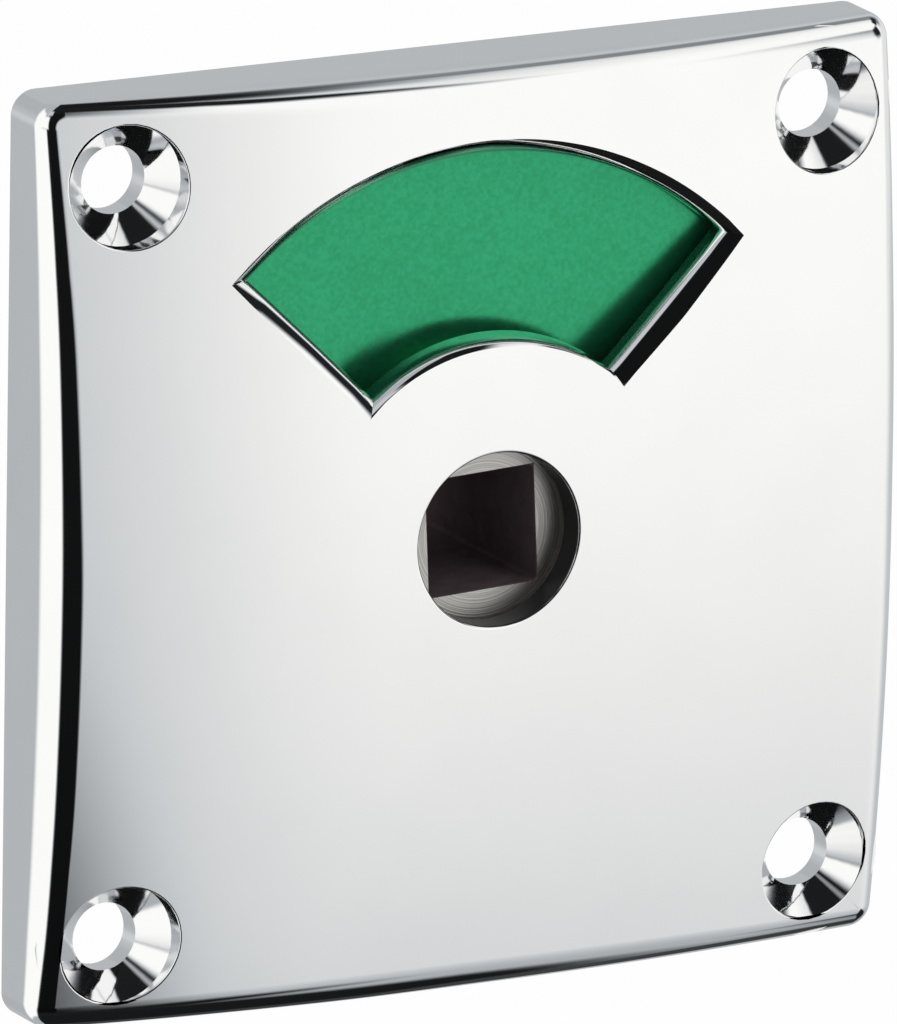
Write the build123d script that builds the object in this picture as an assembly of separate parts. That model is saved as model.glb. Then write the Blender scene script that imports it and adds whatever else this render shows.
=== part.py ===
from build123d import *
import os
from math import radians, sin, cos, sqrt

# Door occupancy indicator, in millimetres.
# The model is built lying on its back: the door face is the plane z = 0, the front looks
# along +z and y points up the door. Each piece is stood upright as it is written, so in
# the files the front looks along -Y and +Z is up. The origin is on the spindle axis in
# the plane of the door face. Angles called clockwise are counted from the top of the
# plate, as seen from the front.

# Face plate: a cast shell with a gently domed front
plate_width = 64.0
plate_corner_radius = 1.75
plate_height = 10.0
dome_rise = 2.71
front_edge_round = 1.6
shell_wall = 2.1
side_wall = 2.0
cavity_corner_radius = 0.6

# Window over the disc
window_height = 13.95
window_half_angle = 44.7
window_rim_round = 1.0
window_cover = 1.25

# Screw recesses in the corners of the face plate
fixing_inset = 5.85
fixing_hole_radius = 2.35
fixing_recess_radius = 4.15
fixing_recess_depth = 0.8
fixing_land = 1.8
fixing_boss_wall = 1.45

# Follower: the turned hub that the spindle and the release key drive
spindle_size = 8.0
socket_clearance = 0.05
socket_corner_radius = 0.3
socket_rest_angle = 3.0
socket_cover = 0.27
follower_recess = 2.7
journal_radius = 7.0
key_step = 0.9
key_flat_step = 0.15
flange_step = 1.1
flange_thickness = 2.0
tail_length = 9.5
tail_chamfer = 0.4

# Indicator disc and its colour fields
disc_side_gap = 1.6
disc_thickness = 1.0
disc_front_gap = 0.7
field_thickness = 0.15
field_edge_margin = 0.4
field_split_gap = 0.1
field_overlap_angle = 4.3
field_far_overlap_angle = 6.0

# Stop: a pin in the strap that runs in a curved slot in the disc
travel_angle = 98.0
stop_pin_radius = 1.0
stop_pin_projection = 0.5
stop_pin_angle = 180.0
stop_pin_chamfer = 0.2
stop_clearance = 0.1
stop_web = 0.9

# Retaining ring in a groove of the follower, behind the disc
ring_thickness = 1.0
ring_groove_depth = 0.3
ring_groove_play = 0.1
ring_width = 2.2
ring_ear_angle = 34.0
ring_gap_half_angle = 25.5
ring_ear_radius = 1.1
ring_ear_hole_radius = 0.45

# Bushes, thrust washer and spring washer
front_bush_wall = 0.85
front_bush_lip = 0.4
front_bush_lip_radius = 6.4
hub_boss_wall = 2.1
rear_bush_wall = 0.85
rear_bush_flange = 0.45
rear_bush_flange_width = 2.3
thrust_washer_thickness = 0.3
thrust_washer_width = 2.0
spring_height = 0.5
spring_thickness = 0.25
spring_width = 1.8
spring_bore_clearance = 0.1

# Bearing strap across the back, and its four countersunk screws
strap_thickness = 1.2
strap_side_gap = 0.4
strap_margin = 3.2
strap_corner_radius = 3.0
strap_boss_radius = 2.3
strap_boss_gap = 0.6
screw_edge_land = 0.8
screw_radius = 1.1
screw_head_radius = 2.1
screw_length = 4.6
screw_slot_width = 0.5
screw_slot_depth = 0.5
screw_tip_room = 0.2

# Clearances
running_clearance = 0.05
seat_clearance = 0.02
end_float = 0.05

# Places that follow from the sizes above, as heights over the door face
follower_face = plate_height - follower_recess
disc_front = follower_face - flange_thickness
disc_back = disc_front - disc_thickness
hub_boss_end = disc_front + disc_front_gap
front_bush_seat = follower_face + end_float + front_bush_lip
ring_back = disc_back - ring_thickness
washer_back = ring_back - end_float - thrust_washer_thickness
bush_flange_front = washer_back - spring_height
strap_front = bush_flange_front - rear_bush_flange
strap_back = strap_front - strap_thickness

# Radii and distances that follow from the sizes above
dome_radius = (plate_width**2 / 4 + dome_rise**2) / (2 * dome_rise)
cavity_half = plate_width / 2 - side_wall
disc_radius = cavity_half - disc_side_gap
window_outer_radius = disc_radius - window_cover
window_inner_radius = window_outer_radius - window_height
socket_width = spindle_size + 2 * socket_clearance
hub_opening_radius = socket_width / sqrt(2) + socket_cover
key_radius = journal_radius + key_step
key_flat = journal_radius + key_flat_step
flange_radius = key_radius + flange_step
front_bush_radius = flange_radius + running_clearance + front_bush_wall
front_seat_radius = front_bush_radius + seat_clearance
rear_bush_radius = journal_radius + running_clearance + rear_bush_wall
rear_seat_radius = rear_bush_radius + seat_clearance
hub_boss_radius = front_seat_radius + hub_boss_wall
groove_radius = journal_radius - ring_groove_depth
ring_inner_radius = groove_radius + seat_clearance
stop_slot_half = stop_pin_radius + stop_clearance
stop_circle_radius = flange_radius + stop_web + stop_slot_half
field_inner_radius = stop_circle_radius + stop_slot_half + field_edge_margin
field_outer_radius = disc_radius - field_edge_margin
fixing_offset = plate_width / 2 - fixing_inset
fixing_boss_radius = fixing_recess_radius + fixing_boss_wall
strap_half = cavity_half - strap_side_gap
strap_screw_x = strap_half - screw_edge_land - screw_head_radius
strap_screw_reach = disc_radius + strap_boss_gap + strap_boss_radius
strap_screw_y = sqrt(strap_screw_reach**2 - strap_screw_x**2)


def dome_drop(distance):
    """How far the domed front lies below its top at a distance from the spindle axis."""
    return dome_radius - sqrt(dome_radius**2 - distance**2)


def at_angle(radius, clockwise):
    """A place at a radius and a clockwise angle from the top of the plate."""
    return (radius * sin(radians(clockwise)), radius * cos(radians(clockwise)))


def disc_between(radius, low, high):
    """A round solid on the spindle axis between two heights."""
    return extrude(Pos(0, 0, low) * Circle(radius), high - low)


def ring_between(inner, outer, low, high):
    """A flat ring on the spindle axis between two heights."""
    return disc_between(outer, low, high) - disc_between(inner, low, high)


def sector(inner, outer, start, end):
    """A flat annular sector between two clockwise angles."""
    first = 90 - end
    sweep = end - start
    edges = [
        CenterArc((0, 0), outer, first, sweep),
        CenterArc((0, 0), inner, first, sweep),
        Line(at_angle(inner, start), at_angle(outer, start)),
        Line(at_angle(inner, end), at_angle(outer, end)),
    ]
    return make_face(edges)


def corners(x, y):
    """The four places that mirror one place about both axes of the plate."""
    return [(x * i, y * j) for i in (-1, 1) for j in (-1, 1)]


def dome_space(depth):
    """The space under the domed front, or under a surface at an even depth below it."""
    # The ball's poles are turned away from the front, so that its seam misses the plate.
    ball = Rot(90, 0, 0) * Sphere(dome_radius - depth)
    return Pos(0, 0, plate_height - dome_radius) * ball


def plate_outside():
    """The face plate as a full solid: square sides, domed front, rounded front edge."""
    block = extrude(RectangleRounded(plate_width, plate_width, plate_corner_radius), plate_height)
    solid = block & dome_space(0)
    front_edges = [e for e in solid.edges() if e.bounding_box().min.Z > plate_height / 4]
    return fillet(front_edges, front_edge_round)


def plate_cavity():
    """The hollow inside the face plate, open at the door face."""
    width = 2 * cavity_half
    block = extrude(RectangleRounded(width, width, cavity_corner_radius), plate_height)
    return block & dome_space(shell_wall)


def fixing_land_end():
    """The height at which the bosses round the screw recesses end."""
    surface = plate_height - dome_drop(fixing_offset * sqrt(2))
    cone_depth = fixing_recess_radius - fixing_hole_radius
    return surface - fixing_recess_depth - cone_depth - fixing_land


def plate_bosses():
    """What stands on the inside of the front: hub boss, screw bosses and strap bosses."""
    boss = disc_between(hub_boss_radius, hub_boss_end, plate_height)
    land = fixing_land_end()
    for x, y in corners(fixing_offset, fixing_offset):
        boss += Pos(x, y, 0) * disc_between(fixing_boss_radius, land, plate_height)
    for x, y in corners(strap_screw_x, strap_screw_y):
        side = 1 if x > 0 else -1
        rib_width = cavity_half + side_wall / 2 - strap_screw_x
        rib = Pos(x + side * rib_width / 2, y) * Rectangle(rib_width, 2 * strap_boss_radius)
        boss += Pos(x, y, 0) * disc_between(strap_boss_radius, strap_front, plate_height)
        boss += extrude(Pos(0, 0, strap_front) * rib, plate_height - strap_front)
    return boss


def window_prism():
    """The straight cut of the window, inside the rounded rim."""
    outline = sector(
        window_inner_radius, window_outer_radius, -window_half_angle, window_half_angle
    )
    return extrude(offset(outline, -window_rim_round), plate_height)


def fixing_cut():
    """One screw recess: straight mouth, countersunk cone and clearance hole."""
    surface = plate_height - dome_drop(fixing_offset * sqrt(2))
    mouth = surface - fixing_recess_depth
    cone_depth = fixing_recess_radius - fixing_hole_radius
    cut = disc_between(fixing_hole_radius, 0, plate_height)
    cut += disc_between(fixing_recess_radius, mouth, plate_height)
    cone = Cone(fixing_hole_radius, fixing_recess_radius, cone_depth)
    return cut + Pos(0, 0, mouth - cone_depth / 2) * cone


def window_rim_edges(plate):
    """The edges round the window, which has the longest rim in the domed front."""
    front = max(plate.faces(), key=lambda face: face.area)
    return max(front.inner_wires(), key=lambda wire: wire.length).edges()


def make_face_plate():
    """The chrome-plated casting with window, hub opening, recesses and bosses."""
    outside = plate_outside()
    plate = outside - plate_cavity()
    plate += plate_bosses() & outside
    plate -= window_prism()
    plate -= disc_between(hub_opening_radius, 0, plate_height)
    plate -= disc_between(front_seat_radius, 0, front_bush_seat)
    for x, y in corners(fixing_offset, fixing_offset):
        plate -= Pos(x, y, 0) * fixing_cut()
    pilot_end = strap_back + screw_length + screw_tip_room
    for x, y in corners(strap_screw_x, strap_screw_y):
        plate -= Pos(x, y, 0) * disc_between(screw_radius + seat_clearance, 0, pilot_end)
    return fillet(window_rim_edges(plate), window_rim_round)


def socket_cut(low, high):
    """The square socket, turned to where it rests when the door is free."""
    square = RectangleRounded(socket_width, socket_width, socket_corner_radius)
    return extrude(Pos(0, 0, low) * (Rot(0, 0, socket_rest_angle) * square), high - low)


def keyed_round(radius, flat, low, high):
    """A round solid with two flats, which carries the disc."""
    shape = Circle(radius) & Rectangle(2 * flat, 2 * radius)
    return extrude(Pos(0, 0, low) * shape, high - low)


def make_follower():
    """The hub: flange in front, keyed seat, ring groove, long journal and square socket."""
    hub = disc_between(flange_radius, disc_front, follower_face)
    hub += keyed_round(key_radius, key_flat, disc_back, disc_front)
    hub += disc_between(journal_radius, -tail_length, disc_back)
    groove_low = ring_back - ring_groove_play
    hub -= ring_between(groove_radius, flange_radius, groove_low, disc_back)
    tail_edges = hub.edges().filter_by(GeomType.CIRCLE).group_by(Axis.Z)[0]
    hub = chamfer(tail_edges, tail_chamfer)
    return hub - socket_cut(-tail_length, follower_face)


def make_indicator_disc():
    """The flat disc behind the window, with its keyed hole and its stop slot."""
    disc = disc_between(disc_radius, disc_back, disc_front)
    disc -= keyed_round(
        key_radius + running_clearance, key_flat + running_clearance, disc_back, disc_front
    )
    inner = stop_circle_radius - stop_slot_half
    outer = stop_circle_radius + stop_slot_half
    slot_start = stop_pin_angle - travel_angle
    slot = sector(inner, outer, slot_start, stop_pin_angle)
    for angle in (slot_start, stop_pin_angle):
        x, y = at_angle(stop_circle_radius, angle)
        slot += Pos(x, y) * Circle(stop_slot_half)
    return disc - extrude(Pos(0, 0, disc_back) * slot, disc_thickness)


def make_field(start, end):
    """One colour field on the front of the disc, between two clockwise angles."""
    shape = sector(field_inner_radius, field_outer_radius, start, end)
    return extrude(Pos(0, 0, disc_front) * shape, field_thickness)


def make_fields():
    """The two colour fields: vacant behind the window at rest, engaged beside it."""
    near = window_half_angle + field_overlap_angle
    far = window_half_angle + field_overlap_angle + field_far_overlap_angle
    half_gap = field_split_gap / 2
    vacant = make_field(-near + half_gap, far)
    engaged = make_field(-far - travel_angle, -near - half_gap)
    return vacant, engaged


def make_retaining_ring():
    """The open ring with two eared ends that holds the disc against the flange."""
    outer = ring_inner_radius + ring_width
    shape = Circle(outer)
    ear_circle = outer - ring_ear_radius / 2
    ears = [at_angle(ear_circle, side * ring_ear_angle) for side in (-1, 1)]
    for x, y in ears:
        shape += Pos(x, y) * Circle(ring_ear_radius)
    shape -= Circle(ring_inner_radius)
    gap = sector(
        ring_inner_radius / 2, outer + ring_ear_radius, -ring_gap_half_angle, ring_gap_half_angle
    )
    shape -= gap
    for x, y in ears:
        shape -= Pos(x, y) * Circle(ring_ear_hole_radius)
    return extrude(Pos(0, 0, ring_back) * shape, ring_thickness)


def make_front_bush():
    """The lipped bush in the hub boss that the flange turns in."""
    inner = flange_radius + running_clearance
    lip_low = follower_face + end_float
    bush = ring_between(inner, front_bush_radius, hub_boss_end, lip_low)
    return bush + ring_between(front_bush_lip_radius, front_bush_radius, lip_low, front_bush_seat)


def make_rear_bush():
    """The flanged bush in the strap that the journal turns in."""
    inner = journal_radius + running_clearance
    bush = ring_between(inner, rear_bush_radius, strap_back, strap_front)
    flange = inner + rear_bush_flange_width
    return bush + ring_between(inner, flange, strap_front, bush_flange_front)


def make_thrust_washer():
    """The flat washer between the retaining ring and the spring washer."""
    inner = journal_radius + running_clearance
    high = ring_back - end_float
    return ring_between(inner, inner + thrust_washer_width, washer_back, high)


def make_spring_washer():
    """The conical spring washer that takes up the play of the disc."""
    inner = journal_radius + spring_bore_clearance
    outer = inner + spring_width
    low = bush_flange_front
    high = washer_back
    outline = Polyline(
        (inner, 0, high - spring_thickness),
        (inner, 0, high),
        (outer, 0, low + spring_thickness),
        (outer, 0, low),
        close=True,
    )
    return revolve(make_face(outline), Axis.Z)


def make_bearing_strap():
    """The pressed strap that closes the back and carries the rear bush."""
    height = 2 * (strap_screw_y + strap_margin)
    blank = RectangleRounded(2 * strap_half, height, strap_corner_radius)
    strap = extrude(Pos(0, 0, strap_back) * blank, strap_thickness)
    strap -= disc_between(rear_seat_radius, strap_back, strap_front)
    x, y = at_angle(stop_circle_radius, stop_pin_angle)
    strap -= Pos(x, y, 0) * disc_between(stop_pin_radius + seat_clearance, strap_back, strap_front)
    for place in corners(strap_screw_x, strap_screw_y):
        strap -= Pos(*place, 0) * screw_shape(seat_clearance)
    return strap


def screw_shape(clearance):
    """A countersunk screw, or with a clearance the hole that it needs."""
    head_depth = screw_head_radius - screw_radius
    head = Cone(screw_head_radius + clearance, screw_radius + clearance, head_depth)
    screw = Pos(0, 0, strap_back + head_depth / 2) * head
    return screw + disc_between(screw_radius + clearance, strap_back, strap_back + screw_length)


def make_strap_screws():
    """The four slotted countersunk screws that hold the strap."""
    slot = Box(3 * screw_head_radius, screw_slot_width, 2 * screw_slot_depth)
    screw = screw_shape(0) - Pos(0, 0, strap_back) * slot
    return Compound([Pos(x, y, 0) * screw for x, y in corners(strap_screw_x, strap_screw_y)])


def make_stop_pin():
    """The pin pressed into the strap, which ends the travel of the disc."""
    x, y = at_angle(stop_circle_radius, stop_pin_angle)
    pin = disc_between(stop_pin_radius, strap_back, disc_front + stop_pin_projection)
    tip = pin.edges().filter_by(GeomType.CIRCLE).group_by(Axis.Z)[-1]
    return Pos(x, y, 0) * chamfer(tip, stop_pin_chamfer)


def main():
    """Makes every piece, stands it upright and writes it."""
    vacant, engaged = make_fields()
    pieces = {
        "face_plate": make_face_plate(),
        "follower": make_follower(),
        "indicator_disc": make_indicator_disc(),
        "green_field": vacant,
        "red_field": engaged,
        "retaining_ring": make_retaining_ring(),
        "front_bush": make_front_bush(),
        "rear_bush": make_rear_bush(),
        "thrust_washer": make_thrust_washer(),
        "spring_washer": make_spring_washer(),
        "bearing_strap": make_bearing_strap(),
        "strap_screws": make_strap_screws(),
        "stop_pin": make_stop_pin(),
    }
    os.makedirs("parts", exist_ok=True)
    for name, shape in pieces.items():
        export_step(Rot(90, 0, 0) * shape, f"parts/{name}.step")


main()
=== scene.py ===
import logging
import math
from dataclasses import dataclass, field
from enum import Enum
from typing import Optional, Union

import bpy
import numpy as np
from mathutils import Matrix, Vector


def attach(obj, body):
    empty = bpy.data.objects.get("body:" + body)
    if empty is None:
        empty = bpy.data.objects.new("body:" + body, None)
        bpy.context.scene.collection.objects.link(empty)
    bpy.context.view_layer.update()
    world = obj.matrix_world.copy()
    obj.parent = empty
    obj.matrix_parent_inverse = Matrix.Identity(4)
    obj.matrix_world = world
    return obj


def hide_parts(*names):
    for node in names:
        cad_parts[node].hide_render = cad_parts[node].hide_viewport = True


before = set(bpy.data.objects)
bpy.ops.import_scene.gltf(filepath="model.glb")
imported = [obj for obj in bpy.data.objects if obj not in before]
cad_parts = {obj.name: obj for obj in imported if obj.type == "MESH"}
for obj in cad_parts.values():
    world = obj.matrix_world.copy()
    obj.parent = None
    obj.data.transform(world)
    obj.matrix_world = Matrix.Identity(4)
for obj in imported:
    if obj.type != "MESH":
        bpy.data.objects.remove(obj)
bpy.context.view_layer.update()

MM = 0.001
JOINS_PER_MM = 2e4
SHORTEST = 1e-12
LOG = logging.getLogger("occupancy_indicator")
Points = np.ndarray
Socket = Union[bpy.types.NodeSocket, float, tuple]


class Body(Enum):
    """The two rigid bodies of the indicator."""

    PLATE = "plate"
    INDICATOR = "indicator"


class Slot(Enum):
    """Names of the record's material slots that go with the new pieces."""

    CHROME = "chrome_plate"
    FOLLOWER = "follower_steel"
    GREEN = "vacant_green"
    RED = "engaged_red"


def clock(angle: Union[float, Points]) -> Points:
    """Unit vectors at clockwise angles in degrees from the top: x is the sine, y the cosine."""
    turn = np.radians(angle)
    return np.stack([np.sin(turn), np.cos(turn)], -1)


def quarter_turned(xy: Points, quarters: int) -> Points:
    """Turns places or directions clockwise by quarter turns: (x, y) becomes (y, -x) each time.

    Args:
        xy: The places or directions, any shape x 2.
        quarters: How many quarter turns.

    Returns:
        The turned ones, the same shape.
    """
    turned = xy
    for _ in range(quarters % 4):
        turned = np.stack([turned[..., 1], -turned[..., 0]], -1)
    return turned


def blend_rows(first: Points, last: Points, rows: int) -> Points:
    """A grid between two curves: each column is divided evenly from its first to its last point.

    Args:
        first: Points of the first curve, columns x k.
        last: Points of the last curve, columns x k.
        rows: How many steps to make.

    Returns:
        The grid, (rows + 1) x columns x k.
    """
    t = np.linspace(0.0, 1.0, rows + 1)[:, None, None]
    return first * (1 - t) + last * t


def turn_between(first: Points, last: Points, steps: int) -> Points:
    """Unit vectors that swing evenly from first to last, by the sine formula for equal angles.

    Args:
        first: Unit vectors at the start, columns x 3.
        last: Unit vectors at the end, columns x 3.
        steps: How many steps to make.

    Returns:
        The vectors, (steps + 1) x columns x 3.
    """
    t = np.linspace(0.0, 1.0, steps + 1)[:, None, None]
    angle = np.arccos(np.clip((first * last).sum(-1), -1, 1))[None, :, None]
    return (np.sin((1 - t) * angle) * first + np.sin(t * angle) * last) / np.sin(angle)


def with_height(xy: Points, height: Union[float, Points]) -> Points:
    """Places in the plane of the plate, each given a height over the door face."""
    level = np.broadcast_to(height, xy.shape[:-1])
    return np.concatenate([xy, level[..., None]], -1)


def row_frame(places: Points) -> Points:
    """From plate places (x, y, height) to the frame's axes: X is x, Y is minus height, Z is y."""
    return np.stack([places[..., 0], -places[..., 2], places[..., 1]], -1)


def unit(vectors: Points) -> Points:
    """Vectors divided by their own lengths."""
    return vectors / np.maximum(np.linalg.norm(vectors, axis=-1, keepdims=True), SHORTEST)


def grid_normals(places: Points, closed: bool) -> Points:
    """Normals of a grid: the cross product of the slopes along its columns and along its rows.

    Args:
        places: The grid, rows x columns x 3.
        closed: Whether the last column repeats the first.

    Returns:
        Unit normals, rows x columns x 3.
    """
    along = np.gradient(places, axis=1)
    if closed:
        seam = places[:, 1] - places[:, -2]
        along[:, 0] = along[:, -1] = seam / 2
    across = np.gradient(places, axis=0)
    return unit(np.cross(along, across))


def grid_faces(rows: int, columns: int) -> Points:
    """Point numbers of a grid's faces, row by row, (rows - 1) x (columns - 1) x 4."""
    index = np.arange(rows * columns).reshape(rows, columns)
    return np.stack([index[:-1, :-1], index[:-1, 1:], index[1:, 1:], index[1:, :-1]], -1)


def new_object(name: str, data: bpy.types.ID) -> bpy.types.Object:
    """Puts a mesh, a camera or a lamp into the scene.

    Args:
        name: The object's name.
        data: The mesh, camera or lamp.

    Returns:
        The new object, at the origin.
    """
    item = bpy.data.objects.new(name, data)
    bpy.context.scene.collection.objects.link(item)
    return item


@dataclass
class Shell:
    """One piece, gathered from grids that share their borders.

    Each grid keeps its own normals, so a border is smooth where two grids agree there and
    crisp where they don't. Points that fall together are joined, so that the piece is closed.
    """

    name: str
    grids: list = field(default_factory=list)

    def add(self, places: Points, normals: Optional[Points] = None, closed: bool = False,
            outward: Optional[Points] = None) -> None:
        """Adds one grid.

        Args:
            places: rows x columns x 3, in millimetres over the plate.
            normals: Outward normals of the same size. Worked out from the grid if left out.
            closed: Whether the last column repeats the first.
            outward: Directions of the same size, or one, that the normals must lean to.
        """
        if normals is None:
            normals = grid_normals(places, closed)
            if outward is not None and (normals * outward).sum() < 0:
                normals = -normals
        self.grids.append((places, normals))

    def add_level(self, places: Points, way: float) -> None:
        """Adds a grid level with the door. It faces out of the door for 1 and into it for -1."""
        self.add(places, np.broadcast_to([0.0, 0.0, way], places.shape))

    def revolve(self, profile: Points, columns: int, smooth: bool = False) -> None:
        """Turns a profile about the spindle axis: (r, h) becomes (r sin a, r cos a, h).

        Args:
            profile: Radius and height, k x 2, with the metal on the right of the path.
            columns: Steps round the axis.
            smooth: One smooth surface if true, otherwise a crisp edge at each profile point.
        """
        ring = clock(np.linspace(0, 360, columns + 1))
        ring[-1] = ring[0]
        places = with_height(profile[:, 0][:, None, None] * ring, profile[:, 1][:, None])
        if smooth:
            slope = np.gradient(profile, axis=0)
            self._add_profile(places, ring, slope)
            return
        for i in range(len(profile) - 1):
            slope = np.repeat((profile[i + 1] - profile[i])[None], 2, 0)
            self._add_profile(places[i:i + 2], ring, slope)

    def _add_profile(self, places: Points, ring: Points, slope: Points) -> None:
        """Adds a turned grid: the normal is the profile's slope (dr, dh) turned to (-dh, dr)."""
        radial = -slope[:, 1][:, None, None] * ring
        self.add(places, unit(with_height(radial, slope[:, 0][:, None])), closed=True)

    def build(self, material: bpy.types.Material, body: Body, slot: Slot,
              stands_for: tuple = ()) -> bpy.types.Object:
        """Makes the mesh object, dresses it and lets it ride.

        Args:
            material: The finish of the whole piece.
            body: The body that it moves with.
            slot: Not used.
            stands_for: Names of the CAD nodes that it stands for.

        Returns:
            The new object.
        """
        points, corners, normals = self._joined()
        mesh = bpy.data.meshes.new(self.name)
        self._fill(mesh, points, corners, normals)
        mesh.materials.append(material)
        piece = new_object(self.name, mesh)
        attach(piece, body.value)
        if stands_for:
            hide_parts(*stands_for)
        LOG.info("%s: %d faces on %s", self.name, len(mesh.polygons), body.value)
        return piece

    def _joined(self) -> tuple:
        """Joins the grids' points by place.

        Returns:
            The points, each face's four corners, and a normal for each corner.
        """
        places, normals, faces, start = [], [], [], 0
        for grid, normal in self.grids:
            quads = start + grid_faces(*grid.shape[:2])
            diagonal = np.cross(grid[1:, 1:] - grid[:-1, :-1], grid[1:, :-1] - grid[:-1, 1:])
            if (diagonal * (normal[1:, 1:] + normal[:-1, :-1])).sum() < 0:
                quads = quads[..., ::-1]
            faces.append(quads.reshape(-1, 4))
            places.append(grid.reshape(-1, 3))
            normals.append(normal.reshape(-1, 3))
            start += grid.shape[0] * grid.shape[1]
        every, corners = np.concatenate(places), np.concatenate(faces)
        keys = np.round(every * JOINS_PER_MM).astype(np.int64)
        _, first, place_of = np.unique(keys, axis=0, return_index=True, return_inverse=True)
        corner_normals = np.concatenate(normals)[corners]
        return row_frame(every[first]) * MM, place_of.reshape(-1)[corners], row_frame(corner_normals)

    @staticmethod
    def _fill(mesh: bpy.types.Mesh, points: Points, corners: Points, normals: Points) -> None:
        """Writes points and faces to a mesh: a quad whose side has shrunk to a point is a triangle.

        Args:
            mesh: The empty mesh.
            points: Its points in metres.
            corners: Four point numbers a face.
            normals: A normal for each of those corners.
        """
        keep = corners != np.roll(corners, -1, axis=1)
        real = keep.sum(1) >= 3
        keep, corners, normals = keep[real], corners[real], normals[real]
        sizes = keep.sum(1)
        starts = np.concatenate([[0], np.cumsum(sizes)[:-1]])
        mesh.vertices.add(len(points))
        mesh.vertices.foreach_set("co", points.astype(np.float32).ravel())
        mesh.loops.add(int(sizes.sum()))
        mesh.loops.foreach_set("vertex_index", corners[keep].astype(np.int32))
        mesh.polygons.add(len(sizes))
        mesh.polygons.foreach_set("loop_start", starts.astype(np.int32))
        mesh.update(calc_edges=True)
        mesh.polygons.foreach_set("use_smooth", np.ones(len(sizes), bool))
        mesh.normals_split_custom_set(unit(normals[keep]).tolist())
        mesh.update()


class Graph:
    """Lays out the nodes of one material or of the world."""

    def __init__(self, tree: bpy.types.NodeTree) -> None:
        """Takes an emptied node tree."""
        self.tree = tree
        tree.nodes.clear()

    def add(self, kind: str, feeds: Optional[dict] = None, **settings: object) -> bpy.types.Node:
        """Adds a node.

        Args:
            kind: Blender's name for the node's type, without its Shader prefix.
            feeds: Input names or numbers, with the socket or number each takes.
            settings: The node's own options.

        Returns:
            The node.
        """
        node = self.tree.nodes.new("ShaderNode" + kind)
        for option, choice in settings.items():
            setattr(node, option, choice)
        for key, value in (feeds or {}).items():
            self.feed(node.inputs[key], value)
        return node

    def feed(self, socket: bpy.types.NodeSocket, value: Socket) -> None:
        """Links a socket, or sets its number.

        Args:
            socket: The input.
            value: The output that it takes, or its number.
        """
        if isinstance(value, bpy.types.NodeSocket):
            self.tree.links.new(value, socket)
        else:
            socket.default_value = value

    def math(self, operation: str, *terms: Socket) -> bpy.types.NodeSocket:
        """One sum, product or other operation on numbers."""
        return self.add("Math", dict(enumerate(terms)), operation=operation).outputs[0]

    def ease(self, value: Socket, low: float, high: float, start: float = 0.0,
             end: float = 1.0) -> bpy.types.NodeSocket:
        """Runs smoothly from start to end while value goes from low to high."""
        limits = {"Value": value, "From Min": low, "From Max": high, "To Min": start, "To Max": end}
        return self.add("MapRange", limits, interpolation_type="SMOOTHSTEP").outputs[0]

    def places(self) -> bpy.types.NodeSocket:
        """The place on the piece, in metres."""
        return self.add("TexCoord").outputs["Object"]

    def split(self, vector: Socket) -> tuple:
        """The three numbers of a vector."""
        node = self.add("SeparateXYZ", {0: vector})
        return tuple(node.outputs)

    def noise(self, scale: float, detail: float = 3.0,
              stretch: tuple = (1.0, 1.0, 1.0)) -> bpy.types.NodeSocket:
        """Cloudy noise.

        Args:
            scale: How many features it has a metre.
            detail: How many finer layers lie over it.
            stretch: How much tighter it is along each axis.

        Returns:
            The noise, 0 to 1.
        """
        mapped = self.add("Mapping", {"Vector": self.places(), "Scale": stretch}).outputs[0]
        feeds = {"Vector": mapped, "Scale": scale, "Detail": detail}
        return self.add("TexNoise", feeds).outputs["Fac"]

    def mixed(self, first: Socket, second: Socket, share: float) -> bpy.types.NodeSocket:
        """The sum of the first times its share and the second times what is left."""
        return self.math("ADD", self.math("MULTIPLY", first, share), self.math("MULTIPLY", second, 1 - share))

    def radius(self) -> bpy.types.NodeSocket:
        """The distance from the spindle axis, in metres: the root of x squared plus z squared."""
        x, _, z = self.split(self.places())
        return self.math("SQRT", self.math("ADD", self.math("MULTIPLY", x, x), self.math("MULTIPLY", z, z)))

    def rings(self, scale: float) -> bpy.types.NodeSocket:
        """Turning marks: noise along the distance from the spindle axis."""
        feeds = {"W": self.radius(), "Scale": scale, "Detail": 2.0}
        return self.add("TexNoise", feeds, noise_dimensions="1D").outputs["Fac"]

    def tint(self, factor: Socket, dark: Socket, light: Socket) -> bpy.types.NodeSocket:
        """A colour between two colours, each three numbers or a socket."""
        ends = [(*end, 1.0) if isinstance(end, tuple) else end for end in (dark, light)]
        return self.add("Mix", {"Factor": factor, 6: ends[0], 7: ends[1]}, data_type="RGBA").outputs[2]

    def bump(self, height: Socket, distance: float) -> bpy.types.NodeSocket:
        """A normal that follows a height of the given depth in metres."""
        return self.add("Bump", {"Height": height, "Distance": distance, "Strength": 1.0}).outputs[0]

    def seen(self) -> bpy.types.NodeSocket:
        """Tells the kinds of ray apart.

        Returns:
            One for what camera, gloss or glass sees, and nothing for matt light.
        """
        path = self.add("LightPath").outputs
        mirrored = self.math("MAXIMUM", path["Is Glossy Ray"], path["Is Transmission Ray"])
        return self.math("MAXIMUM", path["Is Camera Ray"], mirrored)

    def surface(self, shader: bpy.types.Node, output: str = "OutputMaterial") -> None:
        """Makes a shader the surface of the material, or of the world."""
        self.add(output, {"Surface": shader.outputs[0]})


def new_graph(name: str) -> tuple:
    """A new material.

    Args:
        name: Its name.

    Returns:
        The material and the graph of its nodes.
    """
    material = bpy.data.materials.new(name)
    material.use_nodes = True
    return material, Graph(material.node_tree)


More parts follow.
